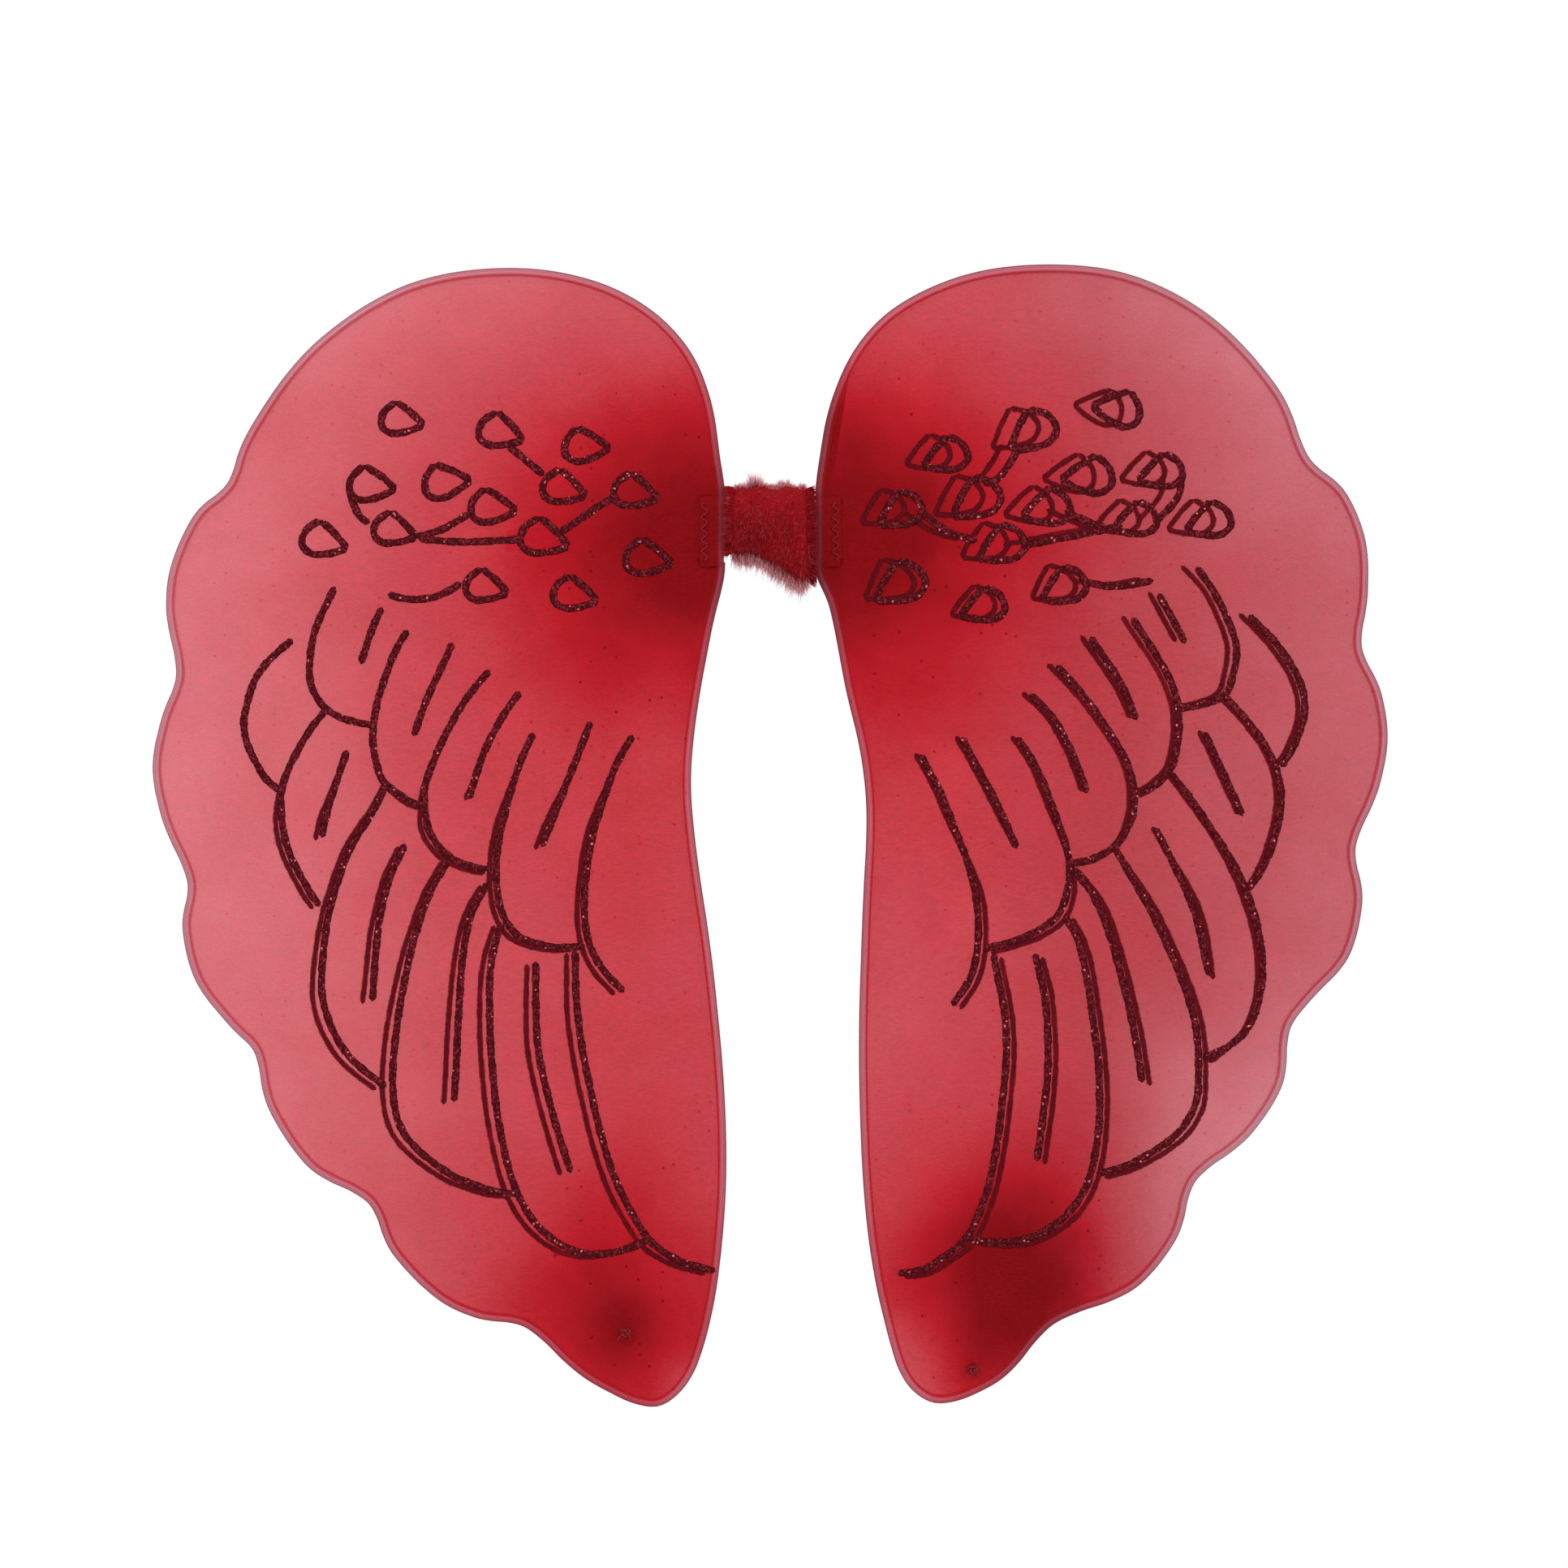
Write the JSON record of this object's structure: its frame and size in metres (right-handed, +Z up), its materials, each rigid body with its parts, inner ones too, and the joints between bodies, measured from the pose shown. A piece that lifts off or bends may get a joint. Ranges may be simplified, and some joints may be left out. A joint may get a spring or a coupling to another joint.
{
  "type": "fairy wings",
  "caption": "Pair of scalloped net wings on bent wire loops, hinged to a fluffy wrapped bridge with a felt back patch and elastic arm straps.",
  "frame": {"origin": "middle of the felt patch's back face, which lies between the wearer's shoulder blades", "axes": "+Z up, +Y out of the patch's back face towards the wearer, +X along the span, to the right as seen from the decorated front"},
  "size_m": [0.4984, 0.1114, 0.4611],
  "materials": {
    "wing_net": "sheer stretched nylon net, red, denser at the root and toe",
    "glitter": "dark red glitter glue",
    "wire": "drawn spring wire, satin",
    "ferrule": "crimped tube, satin",
    "thread": "polyester sewing thread",
    "binding_tape": "cloth tape, matt",
    "plume": "fluffy red plume trim",
    "felt": "pressed felt, matt",
    "elastic": "white braided elastic"
  },
  "bodies": {
    "bridge": {"upper_bridge_wire": "wire", "lower_bridge_wire": "wire", "bridge_binding": "binding_tape", "fluffy_wrap": "plume", "back_patch": "felt", "left_strap_tab": "elastic", "right_strap_tab": "elastic"},
    "left_wing": {"left_wing_wire": "wire", "left_wire_ferrule": "ferrule", "left_wing_sleeve": "wing_net", "left_mouth_stitch": "thread", "left_toe_knot": "thread"},
    "right_wing": {"right_wing_wire": "wire", "right_wire_ferrule": "ferrule", "right_wing_sleeve": "wing_net", "right_mouth_stitch": "thread", "right_toe_knot": "thread"},
    "left_strap": {"left_arm_strap": "elastic"},
    "right_strap": {"right_arm_strap": "elastic"}
  },
  "joints": [
    {"name": "left_wing_fold", "type": "hinge", "parent": "bridge", "child": "left_wing", "pos_m": [-0.0201, -0.0088, 0], "axis": [0, 0, 1], "range_deg": [-8, 85]},
    {"name": "right_wing_fold", "type": "hinge", "parent": "bridge", "child": "right_wing", "pos_m": [0.0201, -0.0088, 0], "axis": [0, 0, -1], "range_deg": [-8, 85]},
    {"name": "left_strap_swing", "type": "hinge", "parent": "bridge", "child": "left_strap", "pos_m": [-0.015, -0.0033, 0], "axis": [0, 0, -1], "range_deg": [-8, 18]},
    {"name": "right_strap_swing", "type": "hinge", "parent": "bridge", "child": "right_strap", "pos_m": [0.015, -0.0033, 0], "axis": [0, 0, 1], "range_deg": [-8, 18]}
  ]
}
